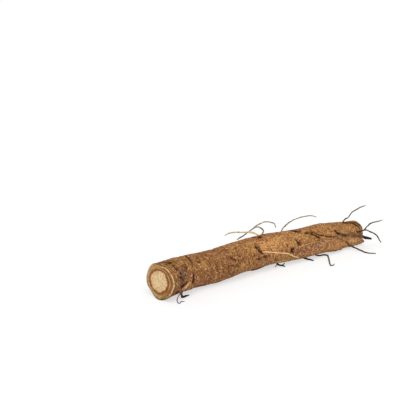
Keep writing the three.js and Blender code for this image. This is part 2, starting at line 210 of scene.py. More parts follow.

# Stains of the bark, and painted shade: the near-black and some dark brown and olive patches beside the side
# roots, in hollows and beside the knobs are painted shade. In the order in which they lie on one another:
# colour, strength, distance, angle, half length and half angle.
STAINS_AND_SHADE = [
    ("umber", 0.35, 24, 180, 32, 80),
    ("umber", 0.25, 52, 180, 30, 60),
    ("umber", 0.5, 46, 118, 22, 50),
    ("umber", 0.3, 12, 104, 10, 30),
    ("umber", 0.8, 3.8, 68, 3, 14),
    ("black_and_shade", 0.3, 4, 69, 2, 8),
    ("umber", 0.4, 2, 97, 2, 8),
    ("dusk", 0.6, 2, 176, 2, 12),
    ("black_and_shade", 0.9, 9, 90, 3, 8),
    # painted shadow low on the collar, behind the cut face
    ("black_and_shade", 0.6, 7.6, 213, 3, 8),
    ("brass", 0.5, 12, 100, 7, 24),
    ("gold", 0.4, 4, 104, 4, 26),
    ("brass", 0.4, 21, 108, 6, 16),
    ("plum", 0.5, 15, 148, 6, 28),
    ("mauve", 0.5, 12, 158, 6, 26),
    ("dusk", 0.8, 9.6, 158, 3, 20),
    ("dusk", 0.7, 14.5, 160, 4.4, 14),
    ("dusk", 0.5, 16.5, 134, 3, 10),
    ("mauve", 0.5, 3, 168, 3, 10),
    ("rosy", 0.6, 20.8, 166, 2.4, 14),
    ("gold", 0.85, 19.4, 194, 2.8, 9),
    ("gold", 0.5, 22, 140, 2.4, 12),
    # painted shadow beside the collar's side root
    ("black_and_shade", 0.8, 13, 189, 3.4, 5),
    ("black_and_shade", 0.8, 6, 206, 3, 9),
    ("rosy", 0.45, 28, 184, 4, 10),
    ("olive", 0.5, 27, 165, 4, 4),
    ("olive", 0.5, 34.4, 176, 4.5, 4),
    ("rosy", 0.4, 38, 186, 8, 10),
    ("gold", 0.4, 37, 135, 8, 20),
    ("rosy", 0.6, 49.2, 188, 3.4, 6),
    ("rosy", 0.5, 48.4, 100, 3, 6),
    ("umber", 0.55, 63.5, 170, 7, 10),
    ("gold", 0.6, 71, 97, 5, 9),
    ("gold", 0.7, 76, 184, 8, 14),
    ("gold", 0.6, 84, 130, 6, 18),
    ("olive", 0.6, 95.4, 178, 3, 5),
    ("mauve", 0.6, 96, 187, 6, 5),
    ("umber", 0.3, 98, 199, 5, 6),
    ("orange", 0.4, 112.5, 178, 5, 7),
    ("black_and_shade", 0.5, 92.3, 176, 2.4, 5),
    ("umber", 0.4, 108, 184, 3, 4),
    ("gold", 0.4, 75.5, 211, 8, 6),
    ("peach", 0.4, 55, 128, 5, 10),
    ("dusk", 0.5, 135, 87, 4, 10),
    ("umber", 0.45, 127.5, 156.5, 3, 5),
    # painted shadow at the side of the knob
    ("black_and_shade", 0.35, 124, 172, 2, 4),
    ("orange", 0.95, 104, 138, 12, 18),
    ("gold", 0.5, 116, 118, 12, 22),
    ("rosy", 0.4, 113, 150, 5, 7),
    ("gold", 0.5, 122, 150, 8, 12),
    ("gold", 0.5, 110, 192, 8, 6),
    ("olive", 0.3, 114, 198, 7, 6),
    ("straw", 0.6, 117, 212, 9, 8),
    ("straw", 0.4, 127, 220, 5, 6),
    ("olive", 0.4, 124, 208, 8, 8),
    ("umber", 0.5, 124, 174, 2.6, 9),
    ("umber", 0.4, 155.6, 175, 5, 7),
    ("orange", 0.6, 149, 153.5, 3, 4),
    ("gold", 0.5, 138, 130, 8, 16),
    ("mauve", 0.8, 144, 184, 17, 14),
    ("olive", 0.4, 147, 168, 6, 6),
    ("rosy", 0.5, 138.8, 192, 5, 7),
    ("rosy", 0.5, 150, 196, 5, 8),
    ("mauve", 0.5, 160, 172, 9, 10),
    ("gold", 0.6, 167, 204, 9, 12),
    ("gold", 0.2, 160, 124, 9, 16),
    ("peach", 0.3, 160, 190, 10, 12),
    ("umber", 0.55, 135.8, 182, 5, 9),
    ("orange", 0.7, 164.5, 141, 6, 6),
    ("orange", 0.5, 171, 127, 3, 5),
    ("dusk", 0.3, 163, 87, 6, 8),
    ("peach", 0.5, 176, 200, 9, 16),
    ("mauve", 0.75, 180, 151, 6, 6),
    ("mauve", 0.7, 174, 170, 6, 6),
    # painted shadow under the end side root
    ("olive", 0.6, 178, 161, 5, 4),
    ("gold", 0.3, 183, 122, 9, 16),
    ("sand", 0.95, 190, 196, 8, 14),
    ("sand", 0.85, 190.5, 218, 6, 7),
    ("olive", 0.3, 179, 131, 6, 8),
    ("dusk", 0.3, 178, 149, 4, 5),
    ("dusk", 0.2, 192, 167, 4, 5),
    ("mauve", 0.5, 171, 171, 5, 5),
    ("rosy", 0.5, 184, 180, 4, 6),
    ("umber", 0.4, 196, 236, 5, 10),
    ("dusk", 0.5, 200, 130, 2.4, 50),
    ("umber", 0.4, 60, 10, 12, 26),
    ("mauve", 0.4, 96, 20, 14, 24),
    ("gold", 0.4, 120, 340, 14, 30),
    ("olive", 0.4, 30, 30, 12, 24),
    ("mauve", 0.5, 160, 20, 16, 30),
    ("umber", 0.4, 100, 270, 40, 30),
]

ARC = math.radians(RADIUS)  # millimetres of skin for each degree around


def follow(stations, distance):
    """A smooth curve through stations of (distance, value), read at each distance."""
    at = np.array([s[0] for s in stations], float)
    value = np.array([s[1] for s in stations], float)
    last = len(stations) - 1
    x = np.clip(distance, at[0], at[-1])
    i = np.clip(np.searchsorted(at, x, side="left") - 1, 0, last - 1)
    before = np.maximum(i - 1, 0)
    after = np.minimum(i + 2, last)
    span = at[i + 1] - at[i]
    start = (value[i + 1] - value[before]) / (at[i + 1] - at[before]) * span
    end = (value[after] - value[i]) / (at[after] - at[i]) * span
    rise = value[i + 1] - value[i]
    t = (x - at[i]) / span
    return value[i] + t * (start + t * (3 * rise - 2 * start - end + t * (start + end - 2 * rise)))


def bump(share):
    """1 at the middle of a bump and 0 well outside it."""
    return np.exp(-share * share)


def turn_between(a, b):
    """The shorter way round from one angle to another."""
    return (a - b + 180) % 360 - 180


def swell(knob, distance, angle):
    """How far a knob, ridge or hollow moves the skin."""
    at, where, high, long, wide = knob
    return high * bump((distance - at) / long) * bump(turn_between(angle, where) / wide)


def skin_radius(distance, angle):
    """The plain skin, as in the CAD: distance from the root's axis."""
    cut_share = np.maximum(0, 1 - distance / CUT_FADE) ** 2
    waves = 1
    for count, cut, beyond, crest, turn in LOBES:
        height = beyond + (cut - beyond) * cut_share
        waves = waves + height * np.cos(np.radians(count * (angle - crest - turn * distance)))
    radius = RADIUS * follow(GIRTH, distance) * waves
    for knob in SWELLINGS:
        radius = radius + swell(knob, distance, angle)
    crack = CREASE_AT + CREASE_LEAN * np.sin(np.radians(angle))
    return radius - CREASE_DEEP * bump((distance - crack) / CREASE_LONG)


def axis_height(distance):
    """Height of the root's axis, so that its underside just reaches the surface it lies on."""
    under = np.arange(225, 316, 3.0)
    stations = np.linspace(0, LENGTH, 198)
    reach = skin_radius(stations[:, None], under[None, :]) * np.sin(np.radians(under))
    height = follow(LIFT, stations) - reach.min(1) - PRESSED
    return np.interp(distance, stations, height)


def way_off(path, distance, angle):
    """Millimetres along the skin from each point to a path, and the share of the path passed there."""
    nearest = np.full(np.shape(distance), 1e3)
    share = np.zeros(np.shape(distance))
    for i, ((d0, a0), (d1, a1)) in enumerate(zip(path, path[1:])):
        middle = (a0 + a1) / 2
        x = distance - d0
        y = (turn_between(angle, middle) + middle - a0) * ARC
        run, turn = d1 - d0, (a1 - a0) * ARC
        t = np.clip((x * run + y * turn) / (run * run + turn * turn), 0, 1)
        off = np.hypot(x - t * run, y - t * turn)
        share = np.where(off < nearest, (i + t) / (len(path) - 1), share)
        nearest = np.minimum(nearest, off)
    return nearest, share


def grain(points, coarse, seed, octaves=3):
    """Even noise from -1 to 1 at points in millimetres; coarse is the size of its lumps along x, y and z."""
    stretch = 1 / np.array(coarse, float)
    shift = Vector((seed * 17.3, seed * 5.9, seed * 11.1))
    return np.array([noise.fractal(Vector(p) + shift, 0.9, 2.1, octaves) for p in points * stretch])


def grow(distance, angle, share, radius):
    """Points of the root in millimetres: distance along it, angle around it, share of the way out."""
    radius = radius + swell(FOOT, distance, angle)
    across = radius * share * np.cos(np.radians(angle))
    up = radius * share * np.sin(np.radians(angle))
    slant = np.maximum(0, 1 - distance / CUT_FADE) ** 2
    torn = np.maximum(0, 1 - (LENGTH - distance) / 12) ** 2
    x = distance + slant * (CUT_X + CUT_SLOPE_Y * across + CUT_SLOPE_Z * up)
    x = x + torn * share * follow(TORN_RIM, angle)
    y = follow(BOW, distance) + across
    z = np.maximum(0, axis_height(distance) + up)
    return np.stack([x, y, z], -1)


# ---------------------------------------------------------------- rootlets

# Each runs from inside the taproot: radius at the foot and the tip, how pale it is there from 0 to 1, and
# the points of its way.
SIDE_ROOTS = {
    "collar_side_root": [
        (1.3, 0.8, 1.0, 0.9, [(23, -2, 12.4), (20, -6.8, 12.2), (17.6, -8.6, 11.6), (15, -8.5, 9.9),
                              (12.8, -8, 8.2), (12.2, -7.8, 6.8)]),
        (0.95, 0.9, 0.45, 0.0, [(12.6, -7.9, 7.9), (12.2, -7.6, 6), (12.6, -7.2, 3.6), (13.6, -6.2, 1.3)]),
        (0.9, 0.65, 0.0, 0.0, [(13.3, -6.3, 1.4), (15.4, -5.8, 1), (18, -5.6, 1), (20.6, -5.4, 0.9)]),
    ],
    "collar_rootlet": [
        (0.45, 0.35, 0.95, 0.05, [(4.6, -10, 17.4), (4.8, -12.7, 17), (6.4, -12.2, 15), (8.2, -11, 12.2),
                                 (9, -11.4, 9.6), (8.4, -11.5, 7.4), (6.9, -11.1, 5.6), (5.7, -11.2, 3.6),
                                 (5.5, -12, 1.6), (6.3, -13.2, 0.6), (9.2, -11.5, 0.5), (11.8, -12.2, 0.5)]),
    ],
    "end_side_roots": [
        (0.5, 0.8, 0.45, 0.0, [(189, -1, 13.4), (194.6, -6.1, 15), (198.2, -9, 17), (199, -9.2, 17.6)]),
        (1.6, 1.0, 0.9, 0.25, [(171, 2, 16), (174.8, -3, 18), (177.6, -4.8, 17.8), (180.4, -5.3, 16.9),
                               (183.8, -5.4, 15.8), (187.3, -6.3, 14.8), (190.5, -9, 13.7),
                               (193.5, -11.5, 12.7), (196.2, -13.8, 11.6), (198.4, -15.6, 11.1)]),
        (1.15, 1.3, 0.2, 0.0, [(193.5, -11.5, 12.7), (196.2, -13.8, 11.6), (199.7, -16.6, 10.9)]),
    ],
}
ROOTLETS = {
    "front_rootlets": [
        (0.8, 0.55, 0.0, 0.0, [(118, 6, 3.5), (114.8, 3.4, 1.1), (115.6, 1.2, 0.8), (117, -0.8, 0.8),
                               (117.3, -3.4, 0.6)]),
        (0.5, 0.35, 0.0, 0.0, [(116.6, 0, 0.8), (118.4, 0, 1.2), (119.9, 0.5, 2)]),
        (0.4, 0.3, 0.2, 0.4, [(116.6, 4.4, 2), (114, 3.2, 0.8), (112.3, 2.4, 0.6), (110.2, 0.5, 0.5)]),
        (0.9, 0.7, 0.0, 0.0, [(138.6, 6, 4), (140.9, 1.2, 1.4), (142, -1, 0.9), (143.6, -3.9, 0.8),
                              (144.8, -6.8, 0.7)]),
        (0.7, 0.5, 0.2, 0.35, [(150, 5, 4), (153.5, -0.4, 1.2), (156.4, -2, 0.8), (159.6, -2.5, 0.8),
                               (161.2, -4.2, 0.8), (159.3, -8.5, 0.7), (155.4, -14.1, 0.7),
                               (150.9, -20.9, 0.6), (150.2, -23.2, 0.6), (151.9, -23.2, 0.6),
                               (154.3, -21.9, 0.6)]),
        (0.75, 0.55, 0.15, 0.2, [(180, 0, 7), (184, -4.9, 4.8), (188.1, -8.8, 2.7), (191.4, -13.4, 1),
                                (192.4, -19, 0.7), (197.7, -24.8, 0.6)]),
    ],
    "end_rootlets": [
        (0.65, 0.45, 0.35, 0.3, [(181, 5, 18), (185.3, 3.9, 23.4), (187, 3.4, 25.3), (189.4, 2.3, 26.5),
                                 (190.6, 2.1, 28.2), (192.6, 1.7, 30.4), (196, 0.3, 32.6),
                                 (200.4, -1.6, 35.1), (203.4, -3.3, 36)]),
        (0.6, 0.45, 0.15, 0.5, [(198, -8.9, 16.8), (201.2, -9.7, 20.2), (205.7, -11.6, 23),
                                 (208.9, -13.6, 23.6), (212.3, -15.4, 24.7)]),
        (0.6, 0.5, 0.35, 0.1, [(197.4, -8.6, 16.7), (199.6, -10.2, 16.4), (202.9, -13.3, 14.8),
                               (205.9, -16.4, 12.2), (206.6, -18.2, 9.6), (207.6, -20, 6.7)]),
    ],
    "tuft_rootlets": [
        (0.95, 0.5, 1.0, 0.9, [(104, 8, 22.5), (101.5, 10.3, 26.6), (99, 13, 28.5), (95.5, 16, 29.6),
                               (91.4, 19, 29.4), (86, 22.6, 29.6), (81.2, 25.6, 28.8), (78, 27, 27.2)]),
        (0.6, 0.5, 0.6, 0.5, [(102, 9, 24), (103.4, 10, 28), (104.5, 10, 30.3), (104.2, 11, 31.9),
                              (102.6, 12.7, 33.2), (100, 14.7, 33.4), (97, 16.2, 31.4), (93.4, 17.5, 28.9),
                              (90, 18.5, 26.6), (85.4, 20.5, 24)]),
        (0.55, 0.4, 0.7, 0.6, [(98.8, 15.4, 33), (101, 14.7, 34.6), (103.5, 13.5, 36), (107.2, 11.5, 37.5),
                               (110.5, 9, 37.4), (113, 7, 36.2), (113.5, 5.2, 33)]),
    ],
    "back_rootlets": [
        (0.6, 0.4, 0.6, 0.6, [(124, 10, 22), (125.7, 12.2, 26.4), (128.9, 11.5, 29.6), (134.7, 9.6, 33.6),
                              (141.3, 7, 35.4), (148, 4, 36.4), (152.6, 0.6, 35.4)]),
        (0.6, 0.4, 0.4, 0.3, [(58, 12, 14), (57, 24, 13.5), (53, 31, 10.5), (50, 36, 4), (46, 41, 0.6),
                              (39, 43, 0.5)]),
        (1.7, 1.0, 0.3, 0.1, [(84, 12, 11), (86, 22, 10), (89, 28, 8), (90, 31, 6.6)]),
        (0.6, 0.4, 0.4, 0.3, [(165, 6, 12), (167, 17.4, 10.6), (172, 24, 6), (180, 28.5, 0.8),
                              (188, 30, 0.6)]),
        (0.55, 0.4, 0.4, 0.3, [(30, 12, 8), (30, 21, 3), (26, 27, 0.7), (20, 30, 0.6)]),
    ],
}

# Fine rootlets that cling to the skin: radius, how pale, and the way each runs as (distance, angle).
CLINGING = [
    (0.5, 1.0, [(93.8, 157), (97, 160), (102, 165.5), (110, 174), (118.5, 182.5), (121.5, 189), (126.2, 200),
                (131.8, 211)]),
    (0.28, 0.7, [(131, 167), (135.5, 163.5), (138.8, 163), (144.2, 161.5), (150, 163)]),
    (0.22, 0.6, [(156, 160), (161, 162), (167, 165)]),
]

# ---------------------------------------------------------------- place in the frame

cad_low, cad_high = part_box("burdock_root")
rim_angle = np.arange(0, 360, 9.0)
cut_rim = grow(np.zeros(40), rim_angle, np.ones(40), skin_radius(np.zeros(40), rim_angle))
route_y = [y for routes in ROOTLETS.values() for *_, way in routes for _, y, _ in way]
SHIFT = Vector((
    cad_low.x - cut_rim[:, 0].min() * MM,
    (cad_low.y + cad_high.y) / 2 - (min(route_y) + max(route_y)) / 2 * MM,
    cad_low.z,
))


def settle(point):
    """A point given in millimetres from the cut face's foot, in its place in the frame, in metres."""
    return Vector(point) * MM + SHIFT


# ---------------------------------------------------------------- colours and shader nodes

def paint(red, green, blue):
    """A colour as it looks, 0 to 255, in the linear values that shaders take."""
    return tuple(
        c / 12.92 if c <= 0.04045 else ((c + 0.055) / 1.055) ** 2.4
        for c in (red / 255, green / 255, blue / 255)
    ) + (1.0,)


def new_material(name, roughness):
    """A material with one Principled shader, its tree and that shader."""
    material = bpy.data.materials.new(name)
    material.use_nodes = True
    tree = material.node_tree
    shader = tree.nodes["Principled BSDF"]
    shader.inputs["Roughness"].default_value = roughness
    shader.inputs["Specular IOR Level"].default_value = 0.25
    return material, tree, shader


def node(tree, kind, inputs=(), **settings):
    """A node with its settings; each input is a value or another node's output."""
    made = tree.nodes.new(kind)
    for key, value in settings.items():
        setattr(made, key, value)
    for key, value in dict(inputs).items():
        if isinstance(value, bpy.types.NodeSocket):
            tree.links.new(value, made.inputs[key])
        else:
            made.inputs[key].default_value = value
    return made


def sized(tree, x, y, z):
    """Object coordinates in which one unit is x, y and z millimetres along the axes."""
    place = node(tree, "ShaderNodeTexCoord").outputs["Object"]
    scale = (1000 / x, 1000 / y, 1000 / z)
    return node(tree, "ShaderNodeMapping", {"Vector": place, "Scale": scale}).outputs[0]


def noise_at(tree, where, detail=3, roughness=0.6, w=0.0):
    """Noise with lumps of about one unit of where."""
    return node(
        tree, "ShaderNodeTexNoise",
        {"Vector": where, "W": w, "Scale": 1, "Detail": detail, "Roughness": roughness},
        noise_dimensions="4D",
    ).outputs[0]


def ramp(tree, value, *stops, ease="LINEAR"):
    """A colour for each value, from stops of (value, colour)."""
    made = node(tree, "ShaderNodeValToRGB", {0: value})
    made.color_ramp.interpolation = ease
    elements = made.color_ramp.elements
    while len(elements) < len(stops):
        elements.new(0.5)
    for element, (at, colour) in zip(elements, stops):
        element.position = at
        element.color = colour
    return made.outputs[0]


def between(tree, value, low, high, to_low=0.0, to_high=1.0):
    """value, from low to high, spread over to_low to to_high and held there."""
    return node(
        tree, "ShaderNodeMapRange",
        {0: value, 1: low, 2: high, 3: to_low, 4: to_high},
        interpolation_type="SMOOTHSTEP",
    ).outputs[0]


def mix(tree, amount, a, b, mode="MIX"):
    """b over a by amount."""
    made = node(tree, "ShaderNodeMix", data_type="RGBA", blend_type=mode)
    for index, value in ((0, amount), (6, a), (7, b)):
        if isinstance(value, bpy.types.NodeSocket):
            tree.links.new(value, made.inputs[index])
        else:
            made.inputs[index].default_value = value
    return made.outputs[2]


def maths(tree, operation, a, b=0.0):
    """One step of arithmetic, on numbers or on other nodes' outputs."""
    return node(tree, "ShaderNodeMath", {0: a, 1: b}, operation=operation).outputs[0]


def mark(tree, name):
    """A number kept with the mesh, from 0 to 1."""
    return node(tree, "ShaderNodeAttribute", attribute_name=name).outputs["Fac"]


def roughen(tree, shader, height, depth):
    """Bump of height from 0 to 1 over depth millimetres."""
    bumped = node(tree, "ShaderNodeBump", {"Height": height, "Distance": depth * MM, "Strength": 1.0})
    tree.links.new(bumped.outputs[0], shader.inputs["Normal"])


# ---------------------------------------------------------------- finishes

STAIN_AND_SHADE_COLOURS = {
    "gold": paint(196, 144, 82),
    "brass": paint(162, 116, 60),
    "orange": paint(216, 154, 94),
    "peach": paint(206, 150, 96),
    "sand": paint(230, 174, 120),
    "straw": paint(226, 192, 118),
    "rosy": paint(178, 118, 84),
    "mauve": paint(160, 116, 88),
    "plum": paint(134, 86, 62),
    # the dark brown, the olive and the near-black below are also used, at some places, for painted shade
    "dusk": paint(88, 62, 42),
    "olive": paint(122, 92, 44),
    "umber": paint(108, 66, 30),
    "black_and_shade": paint(46, 24, 12),
}


def bark_finish():
    """Thin brown skin: mottled tan and umber with reddish and pale grit, stains, painted shade in hollows
    and beside the side roots, and cracks darkened with painted shade.
    """
    material, tree, shader = new_material("bark", 0.85)
    lumps = noise_at(tree, sized(tree, 3, 3.6, 3.6), 5, 0.72, 1.0)
    colour = ramp(
        tree, lumps,
        (0.28, paint(104, 61, 28)), (0.41, paint(138, 89, 47)), (0.5, paint(162, 112, 65)),
        (0.6, paint(186, 134, 82)), (0.74, paint(218, 168, 116)),
    )
    hue = noise_at(tree, sized(tree, 6, 5, 5), 4, 0.65, 2.0)
    colour = mix(tree, between(tree, hue, 0.5, 0.62, 0, 0.6), colour, paint(170, 126, 66))
    colour = mix(tree, between(tree, hue, 0.5, 0.38, 0, 0.6), colour, paint(160, 99, 64))
    keep = maths(tree, "SUBTRACT", 1.0, mark(tree, "stained_and_shaded"))
    colour = mix(tree, 1.0, colour, keep, "MULTIPLY")
    stain_and_shade = node(tree, "ShaderNodeAttribute", attribute_name="stain_and_shade").outputs["Color"]
    colour = mix(tree, 1.0, colour, stain_and_shade, "ADD")
    # dark lines around the root are painted shade of fine creases; the bark between them is paler
    creases = noise_at(tree, sized(tree, 1.6, 7, 7), 3, 0.65, 3.0)
    colour = mix(tree, between(tree, creases, 0.55, 0.66, 0, 0.55), colour, paint(116, 68, 24))
    colour = mix(tree, between(tree, creases, 0.45, 0.34, 0, 0.35), colour, paint(206, 154, 98))
    coarse = mark(tree, "coarse")
    grit = noise_at(tree, sized(tree, 1.2, 1.4, 1.4), 2, 0.6, 4.0)
    tint = ramp(tree, grit, (0.36, (0.5, 0.36, 0.14, 1)), (0.5, (1, 1, 1, 1)), (0.64, (1.5, 1.64, 1.9, 1)))
    colour = mix(tree, coarse, colour, mix(tree, 1.0, colour, tint, "MULTIPLY"))
    red = noise_at(tree, sized(tree, 2.2, 2.8, 2.8), 3, 0.65, 5.0)
    colour = mix(tree, between(tree, red, 0.55, 0.66, 0, 0.5), colour, paint(130, 72, 38))
    flecks = noise_at(tree, sized(tree, 1.6, 2.2, 2.2), 2, 0.6, 6.0)
    flecked = maths(tree, "MULTIPLY", between(tree, flecks, 0.57, 0.67, 0, 0.8), coarse)
    colour = mix(tree, flecked, colour, paint(92, 46, 6))
    specks = noise_at(tree, sized(tree, 1.5, 1.7, 1.7), 2, 0.6, 7.0)
    speckled = maths(tree, "MULTIPLY", between(tree, specks, 0.57, 0.68, 0, 0.75), coarse)
    colour = mix(tree, speckled, colour, paint(232, 184, 134))
    # painted shade: cracks and wrinkle troughs turn near black-red
    dark = mark(tree, "dark")
    colour = mix(tree, maths(tree, "MULTIPLY", dark, 0.96), colour, paint(34, 10, 2))
    dull = maths(tree, "MULTIPLY", maths(tree, "SUBTRACT", 1.0, dark), 0.25)
    tree.links.new(dull, shader.inputs["Specular IOR Level"])
    colour = mix(tree, mark(tree, "edge"), colour, paint(92, 62, 38))
    tree.links.new(colour, shader.inputs["Base Color"])
    height = maths(tree, "ADD", maths(tree, "MULTIPLY", grit, 0.8), maths(tree, "MULTIPLY", flecks, -0.5))
    roughen(tree, shader, height, 0.4)
    return material


def cut_finish():
    """The cut face: cream core, brown growth line, tan cortex with pale rings, dark inner bark."""
    material, tree, shader = new_material("cut_flesh", 0.6)
    ways = node(tree, "ShaderNodeAttribute", attribute_name="rings").outputs["Vector"]
    parts = node(tree, "ShaderNodeSeparateXYZ", {0: ways})
    back, up, growth = parts.outputs
    wobble = noise_at(tree, sized(tree, 2.0, 2.0, 2.0), 3, 0.6, 1.0)
    wander = maths(tree, "MULTIPLY", maths(tree, "SUBTRACT", wobble, 0.5), 0.12)
    reach = maths(tree, "MULTIPLY", maths(tree, "ADD", growth, wander), 0.5)
    core = (
        (0.00, paint(228, 198, 154)), (0.30, paint(227, 195, 148)), (0.40, paint(225, 186, 141)),
        (0.455, paint(222, 172, 128)), (0.484, paint(192, 138, 90)), (0.507, paint(117, 70, 32)),
    )
    ringed = ramp(
        tree, reach, *core,
        (0.545, paint(128, 84, 40)), (0.62, paint(132, 88, 42)), (0.642, paint(198, 154, 94)),
        (0.672, paint(212, 168, 108)), (0.698, paint(126, 82, 40)), (0.76, paint(132, 88, 42)),
        (0.82, paint(146, 102, 52)), (0.858, paint(168, 122, 68)), (0.885, paint(232, 192, 132)),
        (0.915, paint(250, 216, 158)), (0.945, paint(206, 160, 104)), (0.968, paint(92, 56, 28)),
        (1.0, paint(128, 86, 50)),
    )
    plain = ramp(
        tree, reach, *core,
        (0.56, paint(138, 92, 46)), (0.62, paint(150, 104, 56)), (0.68, paint(180, 136, 80)),
        (0.76, paint(192, 152, 96)), (0.84, paint(174, 136, 84)), (0.885, paint(196, 160, 108)),
        (0.92, paint(216, 184, 134)), (0.96, paint(198, 168, 124)), (1.0, paint(150, 120, 84)),
    )
    lean = maths(tree, "SUBTRACT", back, maths(tree, "MULTIPLY", up, 0.5))
    colour = mix(tree, between(tree, lean, -0.15, -0.7), plain, ringed)
    rays = node(tree, "ShaderNodeMapping", {"Vector": ways, "Scale": (9, 9, 1.6)}).outputs[0]
    streak = noise_at(tree, rays, 3, 0.6, 2.0)
    tint = ramp(tree, streak, (0.32, (0.72, 0.66, 0.5, 1)), (0.5, (1, 1, 1, 1)), (0.68, (1.24, 1.3, 1.4, 1)))
    colour = mix(tree, 1.0, colour, tint, "MULTIPLY")
    mottle = noise_at(tree, sized(tree, 4.5, 4.5, 4.5), 3, 0.6, 5.0)
    in_core = between(tree, growth, 0.9, 0.78)
    greenish = maths(tree, "MULTIPLY", between(tree, mottle, 0.5, 0.6, 0, 0.6), in_core)
    colour = mix(tree, greenish, colour, paint(216, 192, 140))
    rosy = maths(tree, "MULTIPLY", between(tree, mottle, 0.5, 0.4, 0, 0.6), in_core)
    colour = mix(tree, rosy, colour, paint(228, 188, 150))
    blotch = noise_at(tree, sized(tree, 2.2, 2.2, 2.2), 4, 0.65, 3.0)
    in_cortex = between(tree, growth, 0.98, 1.06)
    browned = maths(tree, "MULTIPLY", between(tree, blotch, 0.47, 0.62, 0, 0.6), in_cortex)
    colour = mix(tree, browned, colour, paint(142, 94, 46))
    rough = maths(tree, "MULTIPLY", between(tree, back, 0.0, -0.4), between(tree, up, -0.2, -0.55))
    rough = maths(tree, "MULTIPLY", rough, maths(tree, "MULTIPLY", in_cortex, 0.7))
    gaps = noise_at(tree, sized(tree, 1.8, 1.8, 1.8), 2, 0.6, 6.0)
    rough = maths(tree, "MULTIPLY", rough, between(tree, gaps, 0.42, 0.56))
    colour = mix(tree, rough, colour, paint(128, 76, 28))
    outer = between(tree, reach, 0.66, 0.72)
    greyed = maths(tree, "MULTIPLY", between(tree, lean, 0.3, 0.9, 0, 0.35), outer)
    colour = mix(tree, greyed, colour, paint(188, 162, 124))
    beads = maths(tree, "MULTIPLY", between(tree, gaps, 0.5, 0.6, 0, 0.6), between(tree, reach, 0.85, 0.88))
    colour = mix(tree, beads, colour, paint(168, 116, 62))
    low = maths(tree, "MULTIPLY", between(tree, up, 0.0, -0.3), between(tree, lean, -0.35, 0.1, 0, 0.9))
    low = maths(tree, "MULTIPLY", low, between(tree, reach, 0.865, 0.9))
    colour = mix(tree, low, colour, paint(94, 71, 42))
    grit = noise_at(tree, sized(tree, 1.3, 1.3, 1.3), 2, 0.6, 4.0)
    tint = ramp(tree, grit, (0.36, (0.82, 0.79, 0.7, 1)), (0.5, (1, 1, 1, 1)), (0.64, (1.14, 1.17, 1.22, 1)))
    colour = mix(tree, 1.0, colour, tint, "MULTIPLY")
    tree.links.new(colour, shader.inputs["Base Color"])
    roughen(tree, shader, maths(tree, "ADD", grit, maths(tree, "MULTIPLY", streak, 0.8)), 0.2)
    return material


def torn_finish():
    """The broken end: dry fibrous flesh, tan in the middle and dark under the skin."""
    material, tree, shader = new_material("torn_flesh", 0.9)
    fibres = noise_at(tree, sized(tree, 5, 0.8, 0.8), 4, 0.65, 1.0)
    colour = ramp(
        tree, fibres,
        (0.3, paint(88, 62, 42)), (0.48, paint(142, 106, 72)),
        (0.6, paint(182, 146, 102)), (0.75, paint(208, 176, 130)),
    )
    colour = mix(tree, between(tree, mark(tree, "dark"), 0, 1, 0, 0.7), colour, paint(70, 48, 34))
    tree.links.new(colour, shader.inputs["Base Color"])
    roughen(tree, shader, fibres, 0.5)
    return material


def rootlet_finish(name, gritty, *tones):
    """Dry rootlets, whose tones run from the darkest to the palest by how pale each one is."""
    material, tree, shader = new_material(name, 0.85)
    blotch = noise_at(tree, sized(tree, 2.5, 2.5, 2.5), 3, 0.6, 1.0)
    tone = maths(tree, "ADD", mark(tree, "pale"), between(tree, blotch, 0.3, 0.7, -0.14, 0.14))
    stops = [(i / (len(tones) - 1), paint(*tone)) for i, tone in enumerate(tones)]
    grit = noise_at(tree, sized(tree, 1.3, 1.3, 1.3), 2, 0.6, 4.0)
    tint = ramp(tree, grit, (0.38, (0.6, 0.5, 0.35, 1)), (0.5, (1, 1, 1, 1)), (0.62, (1.3, 1.38, 1.5, 1)))
    colour = mix(tree, gritty, ramp(tree, tone, *stops), tint, "MULTIPLY")
    tree.links.new(colour, shader.inputs["Base Color"])
    roughen(tree, shader, noise_at(tree, sized(tree, 0.7, 0.7, 0.7), 2, 0.6, 2.0), 0.15)
    return material


BARK = bark_finish()
CUT = cut_finish()
TORN = torn_finish()
SIDE_ROOT = rootlet_finish(
    "side_root", 0.8,
    (28, 18, 10), (62, 42, 26), (106, 74, 48), (146, 104, 72), (182, 136, 96), (208, 162, 114),
)
THREAD = rootlet_finish(
    "thread", 0.0,
    (60, 40, 22), (120, 84, 48), (164, 120, 72), (202, 150, 100), (230, 180, 128), (250, 206, 158),
)
ROOTLET = rootlet_finish(
    "rootlet", 0.0,
    (34, 25, 17), (72, 60, 46), (110, 97, 75), (146, 128, 94), (190, 170, 124), (232, 214, 166),
)

# ---------------------------------------------------------------- taproot

AROUND = 210
FACE_RINGS = 30
ALONG_RINGS = 396
END_RINGS = 18
CORE, CORE_BACK = 8.6, 1.95  # radius of the pale core, and how far it lies towards the back


def core_radius(angle):
    """Outline of the pale core, from the middle of the cut face."""
    a = np.radians(angle)
    return CORE + CORE_BACK * np.cos(a) + 0.1 * np.sin(a) + 0.25 * np.sin(4 * a + 0.7) + 0.15 * np.sin(7 * a)


def stains_and_shade_at(distance, angle, wrap):
    """The colour that stains and painted shade add at each point, and the share of the bark's own colour
    that they hide.
    """
    ragged = 1 + 0.9 * grain(wrap, (3, 3, 3), 8)
    colour = np.zeros((len(distance), 3))
    hidden = np.zeros(len(distance))
    for name, strength, at, where, long, wide in STAINS_AND_SHADE:
        amount = bump((distance - at) / long) * bump(turn_between(angle, where) / wide)
        amount = np.clip(strength * amount * ragged, 0, 0.9)
        colour = colour * (1 - amount[:, None]) + amount[:, None] * np.array(STAIN_AND_SHADE_COLOURS[name][:3])
        hidden = hidden * (1 - amount) + amount
    return colour, hidden


